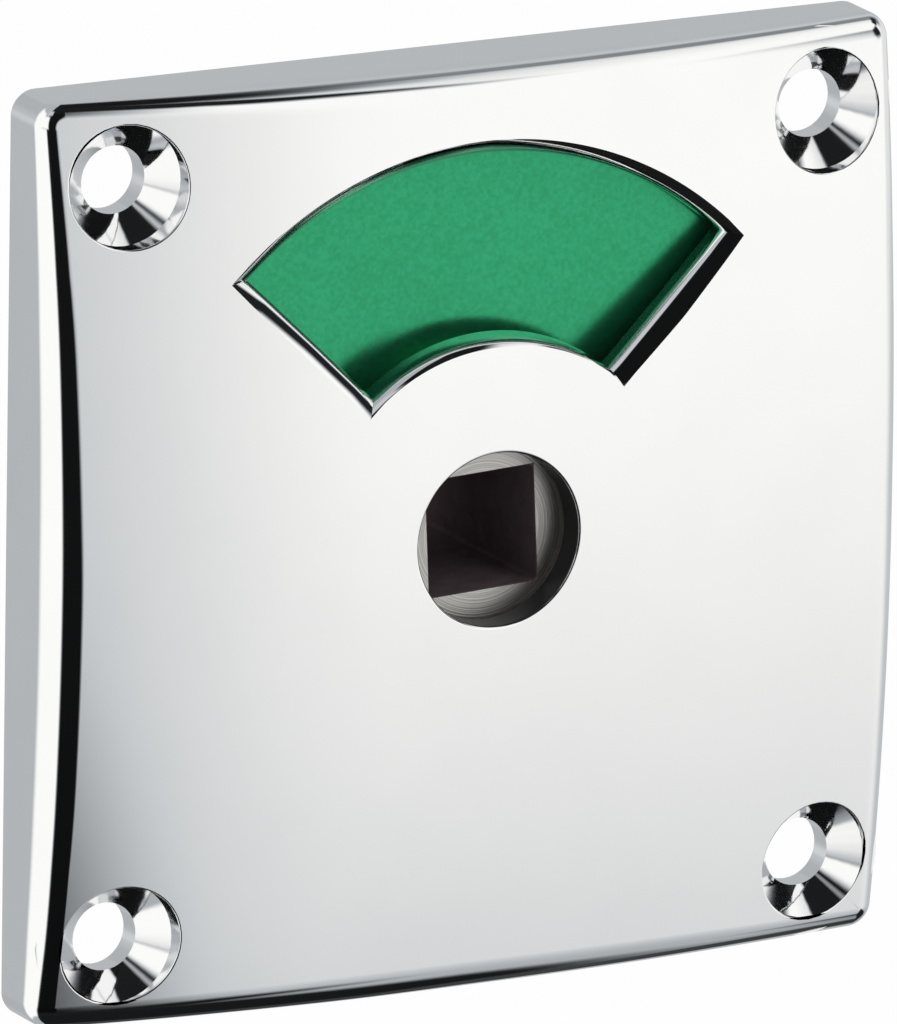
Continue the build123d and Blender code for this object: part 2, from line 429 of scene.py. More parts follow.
@dataclass(frozen=True)
class ChromePlate:
    """Polished chrome over the casting: faint polishing lines, soft waves and a little haze.

    The wall of the hub opening is painted near-black and matt, as painted shade.
    """

    name: str = "polished_chrome"
    light: tuple = (0.955, 0.957, 0.96)
    dark: tuple = (0.90, 0.905, 0.915)
    roughness: float = 0.035
    haze_blur: float = 0.03
    haze_scale: float = 140.0
    line_blur: float = 0.02
    line_height: float = 0.006
    line_scale: float = 900.0
    line_stretch: tuple = (0.15, 1.0, 2.4)
    wave_scale: float = 45.0
    relief: float = 0.00002
    # Painted shade: the near-black colour, extra roughness and radius of the hub opening's wall.
    bore_shade: tuple = (0.020, 0.020, 0.021)
    bore_shade_blur: float = 0.35
    bore_shade_radius: float = 0.00606

    def make(self) -> bpy.types.Material:
        """Builds the node material.

        Returns:
            The finish.
        """
        material, graph = new_graph(self.name)
        haze = graph.noise(self.haze_scale, 4.0)
        lines = graph.noise(self.line_scale, 3.0, self.line_stretch)
        waves = graph.noise(self.wave_scale, 1.0)
        # Painted shade: inside this radius the chrome turns into a near-black matt colour, standing in for
        # the shade in the hub opening.
        bore_shade = graph.math("LESS_THAN", graph.radius(), self.bore_shade_radius)
        hazy = graph.ease(haze, 0.35, 0.75, self.roughness, self.roughness + self.haze_blur)
        blur = graph.math("ADD", hazy, graph.math("MULTIPLY", lines, self.line_blur))
        height = graph.math("ADD", waves, graph.math("MULTIPLY", lines, self.line_height))
        graph.surface(graph.add("BsdfPrincipled", {
            "Base Color": graph.tint(bore_shade, graph.tint(haze, self.dark, self.light), self.bore_shade),
            "Metallic": graph.math("SUBTRACT", 1.0, bore_shade),
            "Roughness": graph.math("ADD", blur, graph.math("MULTIPLY", bore_shade, self.bore_shade_blur)),
            "Normal": graph.bump(height, self.relief),
        }))
        return material


@dataclass(frozen=True)
class ColourField:
    """A satin colour film with a fine metallic grain."""

    name: str
    light: tuple
    dark: tuple
    roughness: float = 0.20
    cloud_blur: float = 0.08
    metallic: float = 0.9
    grain_scale: float = 3400.0
    grain_share: float = 0.7
    cloud_scale: float = 260.0
    relief: float = 0.000003

    def make(self) -> bpy.types.Material:
        """Builds the node material.

        Returns:
            The finish.
        """
        material, graph = new_graph(self.name)
        grain = graph.noise(self.grain_scale)
        cloud = graph.noise(self.cloud_scale)
        amount = graph.mixed(grain, cloud, self.grain_share)
        graph.surface(graph.add("BsdfPrincipled", {
            "Base Color": graph.tint(graph.ease(amount, 0.30, 0.70), self.dark, self.light),
            "Metallic": self.metallic,
            "Roughness": graph.math("ADD", self.roughness, graph.math("MULTIPLY", cloud, self.cloud_blur)),
            "Normal": graph.bump(grain, self.relief),
        }))
        return material


@dataclass(frozen=True)
class TurnedSteel:
    """Bare turned steel with ring marks; the inside of the square socket is painted near-black and matt, as
    painted shade.
    """

    name: str = "turned_steel"
    light: tuple = (0.60, 0.59, 0.575)
    dark: tuple = (0.41, 0.40, 0.39)
    # Painted shade: near-black matt colours for the inside of the square socket.
    socket_shade_light: tuple = (0.100, 0.076, 0.082)
    socket_shade_dark: tuple = (0.050, 0.038, 0.042)
    socket_half: float = 0.00405
    socket_edge: float = 0.00005
    socket_roughness: float = 0.9
    rest_angle: float = 3.0
    roughness: float = 0.33
    mark_scale: float = 9000.0
    cloud_scale: float = 700.0
    relief: float = 0.000012

    def make(self) -> bpy.types.Material:
        """Builds the node material. Inside is where both distances across the square are small.

        Returns:
            The finish.
        """
        material, graph = new_graph(self.name)
        inside = self._inside(graph)
        marks = graph.rings(self.mark_scale)
        cloud = graph.noise(self.cloud_scale, 4.0)
        steel = graph.tint(graph.ease(marks, 0.3, 0.7), self.dark, self.light)
        # Painted shade: the socket's inside gets a near-black matt colour, with no metal or specular, in
        # place of the shade deep in the hole.
        socket_shade = graph.tint(cloud, self.socket_shade_dark, self.socket_shade_light)
        graph.surface(graph.add("BsdfPrincipled", {
            "Base Color": graph.tint(inside, steel, socket_shade),
            "Metallic": graph.math("SUBTRACT", 1.0, inside),
            "Roughness": graph.ease(inside, 0.0, 1.0, self.roughness, self.socket_roughness),
            "Specular IOR Level": graph.ease(inside, 0.0, 1.0, 0.5, 0.0),
            "Normal": graph.bump(marks, self.relief),
        }))
        return material

    def _inside(self, graph: Graph) -> bpy.types.NodeSocket:
        """Finds the square socket, turned to its rest angle.

        Args:
            graph: Where the nodes go.

        Returns:
            One inside the socket and nothing outside it.
        """
        turned = graph.add("Mapping", {
            "Vector": graph.places(), "Rotation": (0.0, math.radians(self.rest_angle), 0.0)})
        x, _, z = graph.split(turned.outputs[0])
        far = graph.math("MAXIMUM", graph.math("ABSOLUTE", x), graph.math("ABSOLUTE", z))
        return graph.math("LESS_THAN", far, self.socket_half + self.socket_edge)


@dataclass(frozen=True)
class SheetMetal:
    """Plain, rolled or zinc-plated sheet and wire with cloudy spots and fine lines."""

    name: str
    light: tuple
    dark: tuple
    roughness: float = 0.3
    metallic: float = 1.0
    cloud_scale: float = 420.0
    cloud_share: float = 0.65
    cloud_blur: float = 0.14
    line_scale: float = 2600.0
    line_stretch: tuple = (0.12, 1.0, 1.0)
    relief: float = 0.000008

    def make(self) -> bpy.types.Material:
        """Builds the node material.

        Returns:
            The finish.
        """
        material, graph = new_graph(self.name)
        cloud = graph.noise(self.cloud_scale, 5.0)
        lines = graph.noise(self.line_scale, 3.0, self.line_stretch)
        blend = graph.mixed(cloud, lines, self.cloud_share)
        graph.surface(graph.add("BsdfPrincipled", {
            "Base Color": graph.tint(graph.ease(blend, 0.3, 0.7), self.dark, self.light),
            "Metallic": self.metallic,
            "Roughness": graph.ease(cloud, 0.25, 0.75, self.roughness, self.roughness + self.cloud_blur),
            "Normal": graph.bump(lines, self.relief),
        }))
        return material


@dataclass
class Dome:
    """The ball that the front of the plate is a part of."""

    top: float = 10.0
    radius: float = 190.285
    touch_rounds: int = 4

    def height(self, xy: Points, depth: float = 0.0) -> Points:
        """Height: the ball's centre plus the root of r squared less the distance squared."""
        inner = self.radius - depth
        return self.top - self.radius + np.sqrt(inner**2 - (xy**2).sum(-1))

    def normal(self, xy: Points) -> Points:
        """The ball's outward direction: the place over its centre, divided by the radius."""
        rise = np.sqrt(self.radius**2 - (xy**2).sum(-1))
        return np.concatenate([xy, rise[..., None]], -1) / self.radius

    def lifted(self, xy: Points, depth: float = 0.0) -> Points:
        """Places in the plane, lifted onto the ball or onto one that lies so deep below it."""
        return with_height(xy, self.height(xy, depth))

    def rim(self, wall: Points, outward: Points, radius: Union[float, Points], steps: int) -> tuple:
        """The rounding between the domed front and an upright wall.

        A small ball rolls along the wall and touches the dome from inside. Its centre stands
        off the wall by its radius, and the surface is that centre plus the radius times a
        direction that swings from the dome's normal to the wall's.

        Args:
            wall: Places on the wall, columns x 2.
            outward: The wall's directions out of the metal, columns x 2.
            radius: The ball's radius, one or a number for each column.
            steps: Steps of the rounding.

        Returns:
            The grid of places, (steps + 1) x columns x 3, and its normals.
        """
        reach = np.broadcast_to(radius, wall.shape[:1])[:, None]
        middle = wall - reach * outward
        start = middle
        for _ in range(self.touch_rounds):
            start = middle + reach * self.normal(start)[:, :2]
        centre = self.lifted(start) - reach * self.normal(start)
        aims = turn_between(self.normal(start), with_height(outward, 0.0), steps)
        return centre + reach * aims, aims


@dataclass
class Outline:
    """A square with rounded corners, in four like quarters that start at the top left."""

    half: float
    corner: float
    seam: float
    columns: int = 90
    corner_columns: int = 48
    arc_columns: int = 24

    def quarter(self) -> tuple:
        """The top side and the corner at its right end.

        The side follows x = seam sqrt(2) sin a for a from -45 to 45 degrees. The corner goes
        straight, round its arc, and straight again down to y = seam.

        Returns:
            Places and outward directions, (columns + corner_columns + 1) x 2 each.
        """
        side = self.seam * math.sqrt(2) * clock(np.linspace(-45, 45, self.columns + 1))[:, 0]
        straight = (self.corner_columns - self.arc_columns) // 2
        centre = self.half - self.corner
        run = np.linspace(self.seam, centre, straight + 1)[1:]
        arc = clock(np.linspace(0, 90, self.arc_columns + 1))[1:]
        back = np.linspace(centre, self.seam, straight + 1)[1:]
        flat = np.concatenate([side, run])
        places = np.concatenate([
            np.stack([flat, np.full_like(flat, self.half)], -1),
            centre + self.corner * arc,
            np.stack([np.full_like(back, self.half), back], -1),
        ])
        up = np.tile([0.0, 1.0], (len(flat), 1))
        right = np.tile([1.0, 0.0], (len(back), 1))
        return places, np.concatenate([up, arc, right])

    def loop(self) -> tuple:
        """All four quarters, with the first point repeated at the end.

        Returns:
            Places and outward directions, (4 (columns + corner_columns) + 1) x 2 each.
        """
        places, outward = self.quarter()
        turned = [quarter_turned(places[:-1], i) for i in range(4)]
        aims = [quarter_turned(outward[:-1], i) for i in range(4)]
        return (np.concatenate([*turned, places[:1]]), np.concatenate([*aims, outward[:1]]))


@dataclass(frozen=True)
class Lip:
    """The buffed edge along one side of the window: a sloping land, then a small round.

    Widths and tilts in degrees are given at the side's start, middle and end, clockwise. The
    land takes the outer share of the width, and its slope grows evenly from its first to its
    last tilt.
    """

    widths: tuple
    land: float
    first_tilts: tuple
    last_tilts: tuple

    def along(self, count: int) -> Points:
        """The lip's numbers at even steps along its side.

        Args:
            count: How many steps.

        Returns:
            Land share, first tilt, last tilt and width, count x 4.
        """
        t = np.linspace(0.0, 1.0, count)
        given = (self.first_tilts, self.last_tilts, self.widths)
        rows = [np.interp(t, (0.0, 0.5, 1.0), numbers) for numbers in given]
        return np.stack([np.full(count, self.land), *rows], -1)


@dataclass
class EdgeLoop:
    """A land and a round all along a wall, given for each column of its outline.

    The styles are the land's share of the width, its first and last tilt in degrees, and the
    scale of the depth, columns x 4.
    """

    wall: Points
    into: Points
    reach: Points
    styles: Points
    land_rows: int = 8
    round_rows: int = 10

    def profile(self) -> tuple:
        """Each column's profile for a width of one.

        Over the land the depth grows by the tangent of the tilt. The round is a part of a
        circle from the last tilt to the upright wall: its radius is what is left of the
        width, divided by one less the sine of that tilt.

        Returns:
            Share of the width left to the wall, depth below the dome, and tilt in radians,
            rows x columns each.
        """
        land = self.styles[:, 0]
        first, last = np.radians(self.styles[:, 1:3]).T
        t = np.linspace(0.0, 1.0, self.land_rows + 1)[:, None]
        share, tilt = 1.0 - land * t, first * (1 - t) + last * t
        slope = np.tan(tilt)
        falls = -np.diff(share, axis=0) * (slope[1:] + slope[:-1]) / 2
        depth = np.concatenate([0 * land[None], np.cumsum(falls, axis=0)])
        u = np.linspace(0.0, 1.0, self.round_rows + 1)[1:, None]
        bend = last * (1 - u) + math.pi / 2 * u
        radius = share[-1] / (1 - np.sin(last))
        return (np.concatenate([share, radius * (1 - np.sin(bend))]),
                np.concatenate([depth, depth[-1] + radius * (np.cos(last) - np.cos(bend))]),
                np.concatenate([tilt, bend]))

    def grid(self, dome: Dome) -> tuple:
        """Lays the profiles on the dome.

        The normal is square to the profile's slope: cos(tilt) times the width along the
        dome's normal, plus sin(tilt) times the depth's scale into the opening.

        Args:
            dome: The domed front.

        Returns:
            The grid of places and its normals, rows x columns x 3.
        """
        share, depth, tilt = (v[..., None] for v in self.profile())
        scale = self.styles[:, 3:]
        xy = self.wall - share * self.reach
        places = dome.lifted(xy) - scale * depth * np.array([0.0, 0.0, 1.0])
        width = (self.reach * self.into).sum(-1)[:, None]
        into = with_height(self.into, 0.0)
        return places, unit(np.cos(tilt) * width * dome.normal(xy) + np.sin(tilt) * scale * into)


@dataclass
class Window:
    """The opening over the disc, inside its buffed lip, with two straight sides and sharp corners."""

    outer: float = 25.95
    inner: float = 13.85
    half_angle: float = 44.7
    right_insets: tuple = (0.75, 1.3)
    left_insets: tuple = (1.0, 1.0)
    arc_columns: int = 100
    side_columns: int = 15
    blend: float = 0.12
    corner_leans: tuple = (0.3, 0.5, 0.5, 0.4)
    top: Lip = Lip((1.28, 1.24, 0.82), 0.66, (36.0, 41.0, 32.0), (45.0, 51.0, 44.0))
    right: Lip = Lip((1.20, 1.45, 1.30), 0.62, (25.0, 25.0, 25.0), (36.0, 36.0, 36.0))
    lower: Lip = Lip((0.30, 0.62, 0.50), 0.40, (44.0, 46.0, 44.0), (54.0, 56.0, 54.0))
    left: Lip = Lip((1.25, 1.30, 1.30), 0.66, (10.0, 11.0, 25.0), (38.0, 38.0, 42.0))

    def loop(self) -> EdgeLoop:
        """The opening's outline and its lip, clockwise from the upper left corner.

        A straight side lies inside a spoke of the window: on a circle of radius r it is at
        the spoke's angle less the angle whose sine is the inset over r. Each corner is there
        twice, once for each of the two walls that meet in it. There the lip's reach is the
        sum of both sides' reaches and its depth the mean of both. Its land and tilts lean to
        the earlier side by the corner's own share.

        Returns:
            The wall, its directions into the opening, the lip's reach and its styles.
        """
        over = clock(np.linspace(-self._angle(self.left_insets[0], self.outer),
                                 self._angle(self.right_insets[0], self.outer), self.arc_columns + 1))
        under = clock(np.linspace(self._angle(self.right_insets[1], self.inner),
                                  -self._angle(self.left_insets[1], self.inner), self.arc_columns + 1))
        right = blend_rows(self.outer * over[-1:], self.inner * under[:1], self.side_columns)[:, 0]
        left = blend_rows(self.inner * under[-1:], self.outer * over[:1], self.side_columns)[:, 0]
        walls = [self.outer * over, right, self.inner * under, left]
        intos = [-over, self._across(right), under, self._across(left)]
        lips = (self.top, self.right, self.lower, self.left)
        styles = [lip.along(len(wall)) for lip, wall in zip(lips, walls)]
        reaches = [into * style[:, 3:] for into, style in zip(intos, styles)]
        for i, lean in enumerate(self.corner_leans):
            shares = np.array([lean, lean, lean, 0.5])
            reaches[i][0] = reaches[i - 1][-1] = reaches[i - 1][-1] + reaches[i][0]
            styles[i][0] = styles[i - 1][-1] = shares * styles[i - 1][-1] + (1 - shares) * styles[i][0]
        for style in styles:
            self._blend_ends(style)
        parts = (walls, intos, reaches, styles)
        return EdgeLoop(*(np.concatenate([*part, part[0][:1]]) for part in parts))

    def _angle(self, inset: float, radius: float) -> float:
        """How far from the top a straight side lies at a radius, in degrees."""
        return self.half_angle - math.degrees(math.asin(inset / radius))

    @staticmethod
    def _across(side: Points) -> Points:
        """The direction into the opening from a straight side: its run, turned to the right."""
        run = unit(side[-1] - side[0])
        return np.tile([run[1], -run[0]], (len(side), 1))

    def _blend_ends(self, style: Points) -> None:
        """Runs one side's numbers smoothly into those of its two corners.

        A corner's share falls over the blend's part of the side by the step 3 t squared
        less 2 t cubed.

        Args:
            style: The side's numbers, changed in place.
        """
        t = np.linspace(0.0, 1.0, len(style))
        for end, away in ((style[0].copy(), t), (style[-1].copy(), 1 - t)):
            near = np.clip(1 - away / self.blend, 0, 1)[:, None]
            ease = near * near * (3 - 2 * near)
            style[:] = style * (1 - ease) + end * ease


@dataclass
class Deck:
    """How one broad face of the plate, front or underside, is divided into grids."""

    outline: Outline
    waist: float
    window_angle: float = 50.0
    seam_columns: int = 12
    waist_rows: int = 17
    edge_rows: int = 6

    @property
    def reach(self) -> float:
        """The radius of the circle that touches the corner squares."""
        return self.outline.seam * math.sqrt(2)

    def hub_ring(self, hub_edge: Points) -> Points:
        """From the hub's edge out to the waist circle."""
        ring = clock(np.linspace(0, 360, len(hub_edge)))
        return blend_rows(hub_edge, self.waist * ring, self.edge_rows)

    def lower_ring(self) -> Points:
        """From the waist circle out to the reach circle, all round but for the window's part.

        Returns:
            The grid, (waist_rows + 1) rows, a column for each degree.
        """
        start = self.window_angle
        ring = clock(np.linspace(start, 360 - start, int(360 - 2 * start) + 1))
        return blend_rows(self.waist * ring, self.reach * ring, self.waist_rows)

    def window_ring(self, window_edge: Points) -> Points:
        """From the polar frame round the window in to the window's edge.

        Args:
            window_edge: The edge, with as many points as the frame's border.

        Returns:
            The grid, (edge_rows + 1) rows.
        """
        angle = self.window_angle
        steps = int(2 * angle)
        over = clock(np.linspace(-angle, angle, steps + 1))
        down = np.linspace(self.reach, self.waist, self.waist_rows + 1)[:, None]
        right, left = down * clock(angle), down[::-1] * clock(-angle)
        back = self.waist * over[::-1]
        border = np.concatenate([self.reach * over[:-1], right[:-1], back[:-1], left])
        return blend_rows(border, window_edge, self.edge_rows)

    def side(self, edge: Points, quarter: int) -> Points:
        """From the reach circle out to the edge, between two corner squares."""
        arc = self.reach * clock(np.linspace(-45, 45, self.outline.columns + 1))
        return quarter_turned(blend_rows(arc, edge, self.seam_columns), quarter)

    def corner_ring(self, edge: Points, recess_edge: Points, quarter: int) -> Points:
        """From the square round a screw recess in to the recess's edge."""
        ring = blend_rows(self.corner_border(edge), recess_edge, self.edge_rows)
        return quarter_turned(ring, quarter)

    def corner_border(self, edge: Points) -> Points:
        """The border of the corner square: up its left side, along the edge, and back.

        Args:
            edge: The outer edge round the first quarter's corner.

        Returns:
            The closed border, clockwise from the square's inner corner.
        """
        inner = np.full((1, 2), self.outline.seam)
        up = blend_rows(inner, edge[:1], self.seam_columns)[:, 0]
        back = blend_rows(edge[-1:], inner, self.seam_columns)[:, 0]
        return np.concatenate([up[:-1], edge[:-1], back])


@dataclass
class FacePlate:
    """The chrome-plated casting: domed front, window, hub opening, screw recesses, hollow back.

    The widths and the land shares of the front edge are given as pairs of the way round and
    the number there. One side of the plate is one unit of way, from the top left clockwise.
    """

    dome: Dome = field(default_factory=Dome)
    half: float = 32.0
    corner: float = 1.75
    inner_corner: float = 0.6
    edge_widths: tuple = (
        (0.0, 1.0), (0.12, 1.45), (0.25, 1.89), (0.5, 2.2), (0.75, 1.96), (0.88, 1.66), (1.0, 1.45),
        (1.25, 2.0), (1.5, 2.2), (1.75, 2.0), (2.0, 1.7), (2.25, 2.05), (2.5, 2.2), (2.65, 2.1),
        (2.8, 1.95), (2.97, 1.7), (3.03, 1.6), (3.12, 1.8), (3.25, 2.05), (3.5, 2.2), (3.75, 1.9),
        (3.88, 1.5),
    )
    edge_lands: tuple = (
        (0.0, 0.574), (2.05, 0.574), (2.25, 0.68), (2.5, 0.75), (2.64, 0.85), (2.92, 0.86), (2.99, 0.78),
        (3.06, 0.60), (3.12, 0.574),
    )
    edge_last_tilt: float = 35.0
    edge_smoothing: int = 9
    shell: float = 2.1
    wall: float = 2.0
    foot_round: float = 0.25
    seam: float = 20.5
    front_waist: float = 10.5
    under_waist: float = 13.0
    window: Window = field(default_factory=Window)
    hub_radius: float = 6.0
    hub_round: float = 0.22
    hub_round_rows: int = 6
    hub_columns: int = 360
    bush_seat_radius: float = 9.92
    bush_seat_height: float = 7.75
    boss_radius: float = 12.02
    boss_end: float = 6.0
    recess_offset: float = 26.15
    recess_radius: float = 4.15
    recess_round: float = 0.14
    recess_round_rows: int = 5
    recess_depth: float = 0.8
    hole_radius: float = 2.35
    land: float = 1.8
    screw_boss_radius: float = 5.6
    sleeve_radius: float = 3.6
    strap_boss: tuple = (26.7, 16.334)
    strap_boss_radius: float = 2.3
    strap_boss_columns: int = 24
    strap_front: float = 2.0
    boss_sink: float = 0.6
    wall_rows: int = 5
    foot_rows: int = 4

    def build(self, material: bpy.types.Material) -> bpy.types.Object:
        """Builds the whole casting as one closed piece.

        Args:
            material: Its finish.

        Returns:
            The new object.
        """
        shell = Shell("face_plate_casting")
        edge_grid, edge_normals = self._front_edge()
        recess = self._recess_edge()
        self._add_front(shell, edge_grid[0, :, :2], recess[0][0, :, :2])
        shell.add(edge_grid, edge_normals)
        self._add_back_rim(shell, edge_grid[-1])
        under_edge = self._cavity().loop()[0]
        self._add_underside(shell, under_edge)
        self._add_hub(shell)
        for quarter in range(4):
            self._add_recess(shell, recess, quarter)
        for across in (-1, 1):
            for up in (-1, 1):
                self._add_strap_boss(shell, across, up)
        return shell.build(material, Body.PLATE, Slot.CHROME, ("face_plate",))

    def _outline(self) -> Outline:
        """The outside of the side walls."""
        return Outline(self.half, self.corner, self.seam)

    def _cavity(self) -> Outline:
        """The inside of the side walls."""
        return Outline(self.half - self.wall, self.inner_corner, self.seam)

    def _front_edge(self) -> tuple:
        """The rounding of the front edge, whose width and fullness change on the way round.

        In the first quarter's own axes the way from one corner to the next is half of
        (x - y) / half, plus one. Widths and land shares run straight between the given ones
        and are then smoothed by a moving mean. A land share equal to the sine of the last
        tilt makes a plain quarter circle, and a larger one a fuller edge.

        Returns:
            The grid of places and its normals.
        """
        places, outward = self._outline().loop()
        width = self._way_round(self.edge_widths)
        tilts = np.broadcast_to([0.0, self.edge_last_tilt], (len(places), 2))
        styles = np.concatenate([self._way_round(self.edge_lands), tilts, width], -1)
        return EdgeLoop(places, outward, outward * width, styles).grid(self.dome)

    def _way_round(self, given: tuple) -> Points:
        """Spreads numbers given at ways round the plate over the columns of its outline.

        Args:
            given: Pairs of a way round and the number there.

        Returns:
            The smoothed numbers, columns x 1.
        """
        x, y = self._outline().quarter()[0][:-1].T / self.half
        way = np.concatenate([i + 1 + (x - y) / 2 for i in range(4)])
        ways, numbers = np.array(given).T
        rough = np.interp(way, ways, numbers, period=4)
        side = self.edge_smoothing // 2
        wrapped = np.concatenate([rough[-side:], rough, rough[:side]])
        smooth = np.convolve(wrapped, np.full(self.edge_smoothing, 1 / self.edge_smoothing), "valid")
        return np.append(smooth, smooth[0])[:, None]

    def _recess_edge(self) -> tuple:
        """The rounding of a screw recess at the top right, one column for each border point.

        Returns:
            The grid of places and its normals.
        """
        aims = self._recess_aims()
        wall = self.recess_offset + self.recess_radius * aims
        return self.dome.rim(wall, -aims, self.recess_round, self.recess_round_rows)

    def _recess_aims(self) -> Points:
        """Directions from the recess's axis to the border of its corner square."""
        border = self._front_deck().corner_border(self._quarter_edge()[self._outline().columns:])
        return unit(border - self.recess_offset)

    def _quarter_edge(self) -> Points:
        """Where the front edge's rounding begins, along the first quarter."""
        count = self._outline().columns + self._outline().corner_columns + 1
        return self._front_edge()[0][0, :count, :2]

    def _front_deck(self) -> Deck:
        """The grids of the front."""
        return Deck(self._outline(), self.front_waist)

    def _hub_edge(self) -> tuple:
        """The rounding of the hub opening: the grid of places and its normals."""
        ring = clock(np.linspace(0, 360, self.hub_columns + 1))
        return self.dome.rim(self.hub_radius * ring, -ring, self.hub_round, self.hub_round_rows)

    def _add_front(self, shell: Shell, edge: Points, recess_edge: Points) -> None:
        """Adds the domed front and the roundings of the window and the hub opening.

        Args:
            shell: The piece to add them to.
            edge: Where the rounding of the plate's edge begins.
            recess_edge: Where the rounding of the top right screw recess begins.
        """
        deck = self._front_deck()
        lips = self.window.loop()
        rim, rim_normals = lips.grid(self.dome)
        hub, hub_normals = self._hub_edge()
        grids = [deck.hub_ring(hub[0, :, :2]), deck.lower_ring(), deck.window_ring(rim[0, :, :2])]
        grids += self._edge_grids(deck, edge, recess_edge)
        for grid in grids:
            shell.add(self.dome.lifted(grid), self.dome.normal(grid))
        shell.add(rim, rim_normals)
        shell.add(hub, hub_normals)
        wall = blend_rows(rim[-1], self.dome.lifted(lips.wall, self.shell), 3)
        shell.add(wall, np.repeat(rim_normals[-1:], len(wall), 0))

    def _edge_grids(self, deck: Deck, edge: Points, recess_edge: Points) -> list:
        """The four sides and four corner squares of a deck.

        Args:
            deck: The deck.
            edge: Its whole edge.
            recess_edge: The edge of the top right screw recess.

        Returns:
            Eight grids.
        """
        columns, corner = deck.outline.columns, deck.outline.corner_columns
        grids = []
        for quarter in range(4):
            start = quarter * (columns + corner)
            own = quarter_turned(edge[start:start + columns + corner + 1], -quarter)
            grids.append(deck.side(own[:columns + 1], quarter))
            grids.append(deck.corner_ring(own[columns:], recess_edge, quarter))
        return grids

    def _add_back_rim(self, shell: Shell, start: Points) -> None:
        """Adds the side walls, the foot that rests on the door, and the walls of the hollow.

        Both edges of the foot are quarter circles.

        Args:
            shell: The piece to add them to.
            start: Where the rounding of the plate's edge ends.
        """
        outer, outward = self._outline().loop()
        inner, inward = self._cavity().loop()
        small = self.foot_round
        outside, inside = with_height(outward, 0.0), -with_height(inward, 0.0)
        down = np.broadcast_to([0.0, 0.0, -1.0], outside.shape)
        low, high = with_height(outer, small), with_height(inner, small)
        wall = blend_rows(start, low, self.wall_rows)
        shell.add(wall, np.repeat(outside[None], len(wall), 0))
        turn = turn_between(outside, down, self.foot_rows)
        shell.add(low + small * (turn - outside), turn)
        turn = turn_between(down, inside, self.foot_rows)
        shell.add(high + small * (turn - inside), turn)
        ends = [with_height(xy, 0.0) for xy in (outer - small * outward, inner + small * inward)]
        shell.add_level(blend_rows(*ends, 2), -1.0)
        hollow = blend_rows(high, self.dome.lifted(inner, self.shell), self.foot_rows)
        shell.add(hollow, np.repeat(inside[None], len(hollow), 0))

    def _add_underside(self, shell: Shell, edge: Points) -> None:
        """Adds the inside of the domed front, at an even depth under the front.

        Args:
            shell: The piece to add it to.
            edge: The top of the hollow's side walls.
        """
        deck = Deck(self._cavity(), self.under_waist)
        hub = self.boss_radius * clock(np.linspace(0, 360, self.hub_columns + 1))
        grids = [deck.hub_ring(hub), deck.lower_ring(), deck.window_ring(self.window.loop().wall)]
        sleeve = self.recess_offset + self.sleeve_radius * self._recess_aims()
        grids += self._edge_grids(deck, edge, sleeve)
        for grid in grids:
            shell.add(self.dome.lifted(grid, self.shell), -self.dome.normal(grid))

    def _add_hub(self, shell: Shell) -> None:
        """Adds the hub opening, the seat of the front bush and the boss, as one turned profile.

        Args:
            shell: The piece to add it to.
        """
        start = self._hub_edge()[0]
        under = self.dome.height(np.array([0.0, self.boss_radius]), self.shell)
        shell.revolve(np.array([
            [self.boss_radius, under],
            [self.boss_radius, self.boss_end],
            [self.bush_seat_radius, self.boss_end],
            [self.bush_seat_radius, self.bush_seat_height],
            [self.hub_radius, self.bush_seat_height],
            [self.hub_radius, start[-1, 0, 2]],
        ]), self.hub_columns)

    def _add_recess(self, shell: Shell, recess: tuple, quarter: int) -> None:
        """Adds one screw recess: straight mouth, cone, hole and the boss round it.

        Every row is the same ring of directions about the recess's axis, at its own radius
        and height.

        Args:
            shell: The piece to add it to.
            recess: The grid of the recess's rounding and its normals.
            quarter: Which corner, clockwise from the top right.
        """
        rim, rim_normals = recess
        aims = self._recess_aims()
        surface = self.dome.height(np.full(2, self.recess_offset))
        mouth = surface - self.recess_depth
        cone_end = mouth - (self.recess_radius - self.hole_radius)
        end = cone_end - self.land
        hidden = self.dome.height(np.full(2, self.recess_offset), self.shell) + self.boss_sink
        rows = [(self.recess_radius, mouth), (self.hole_radius, cone_end), (self.hole_radius, end),
                (self.screw_boss_radius, end), (self.screw_boss_radius, hidden), (self.sleeve_radius, hidden)]
        rings = [rim[-1]] + [with_height(self.recess_offset + r * aims, h) for r, h in rows]
        rings.append(self.dome.lifted(self.recess_offset + self.sleeve_radius * aims, self.shell))
        turned = [self._turned(grid, quarter) for grid in (rim, rim_normals)]
        shell.add(*turned)
        inward, flat = -with_height(aims, 0.0), np.broadcast_to([0.0, 0.0, 1.0], rim[-1].shape)
        leans = [inward, unit(inward + flat), inward, -flat, -inward, flat, inward]
        for first, last, lean in zip(rings[:-1], rings[1:], leans):
            grid = self._turned(blend_rows(first, last, 3), quarter)
            shell.add(grid, np.repeat(self._turned(lean, quarter)[None], 4, 0))

    @staticmethod
    def _turned(places: Points, quarter: int) -> Points:
        """Places or normals with a height, turned clockwise by quarter turns."""
        return np.concatenate([quarter_turned(places[..., :2], quarter), places[..., 2:]], -1)

